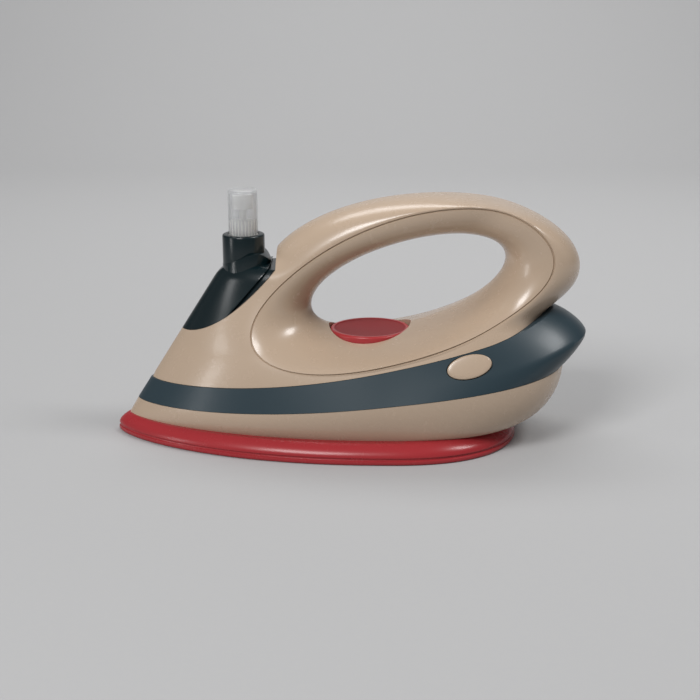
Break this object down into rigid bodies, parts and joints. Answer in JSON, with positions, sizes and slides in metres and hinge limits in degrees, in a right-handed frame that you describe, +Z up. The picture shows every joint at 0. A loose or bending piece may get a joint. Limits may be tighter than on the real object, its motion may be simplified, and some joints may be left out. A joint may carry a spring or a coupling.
{
  "type": "toy iron",
  "caption": "Toy spray iron with a closed handle, banded base, turning dial, sprung light button, capped mist pump and battery bay under the sole.",
  "frame": {"origin": "on the table plane under the middle of the iron's length and width", "axes": "+X from the nose to the tail, +Y to the iron's far side, +Z up"},
  "size_m": [0.2, 0.094, 0.1046],
  "materials": {
    "red_plastic": "gloss moulded",
    "beige_plastic": "gloss moulded",
    "teal_plastic": "gloss moulded",
    "dark_plastic": "gloss moulded",
    "clear_plastic": "clear moulded",
    "white_plastic": "satin moulded",
    "tank_plastic": "translucent moulded",
    "black_plastic": "satin moulded",
    "screw_steel": "plated",
    "board_laminate": "lacquered",
    "light_resin": "clear moulded",
    "gasket_rubber": "matt",
    "wire_sleeve": "extruded",
    "cell_can": "wrapped"
  },
  "bodies": {
    "body": {"sole_plate": "red_plastic", "base_shell": "beige_plastic", "trim_band": "teal_plastic", "left_shell": "beige_plastic", "right_shell": "beige_plastic", "shell_screws": "screw_steel", "base_screws": "screw_steel", "nozzle_housing": "dark_plastic", "pump_collar": "white_plastic", "pump_body": "white_plastic", "pump_spring": "screw_steel", "dip_tube": "tank_plastic", "neck_gasket": "gasket_rubber", "water_tank": "tank_plastic", "dial_bush": "white_plastic", "push_switch": "black_plastic", "switch_board": "board_laminate", "switch_screws": "screw_steel", "circuit_board": "board_laminate", "board_screws": "screw_steel", "light_bulb": "light_resin", "lead_wires": "wire_sleeve", "battery_box": "black_plastic", "battery_cells": "cell_can", "battery_springs": "screw_steel", "battery_contacts": "screw_steel"},
    "dial": {"temperature_dial": "red_plastic", "dial_clip": "screw_steel"},
    "button": {"light_button": "beige_plastic", "switch_plunger": "white_plastic"},
    "actuator": {"spray_actuator": "white_plastic", "pump_stem": "white_plastic"},
    "cap": {"spray_cap": "clear_plastic"},
    "door": {"battery_door": "red_plastic", "battery_door_screw": "screw_steel"}
  },
  "joints": [
    {"name": "dial_turn", "type": "hinge", "parent": "body", "child": "dial", "pos_m": [0.009, 0, 0.038], "axis": [0, 0, 1], "range_deg": [-135, 135]},
    {"name": "button_press", "type": "slide", "parent": "body", "child": "button", "axis": [0, 0.9135, -0.4067], "range_m": [0, 0.0012], "stiffness_N_per_m": 800, "springref_m": -0.001},
    {"name": "actuator_press", "type": "slide", "parent": "body", "child": "actuator", "axis": [0, 0, -1], "range_m": [0, 0.004], "stiffness_N_per_m": 1200, "springref_m": -0.002, "deforming": ["pump_spring"]},
    {"name": "cap_lift", "type": "slide", "parent": "body", "child": "cap", "axis": [0, 0, 1], "range_m": [0, 0.025]},
    {"name": "door_swing", "type": "hinge", "parent": "body", "child": "door", "pos_m": [-0.0162, 0, 0.0015], "axis": [0, 1, 0], "range_deg": [0, 100]}
  ]
}
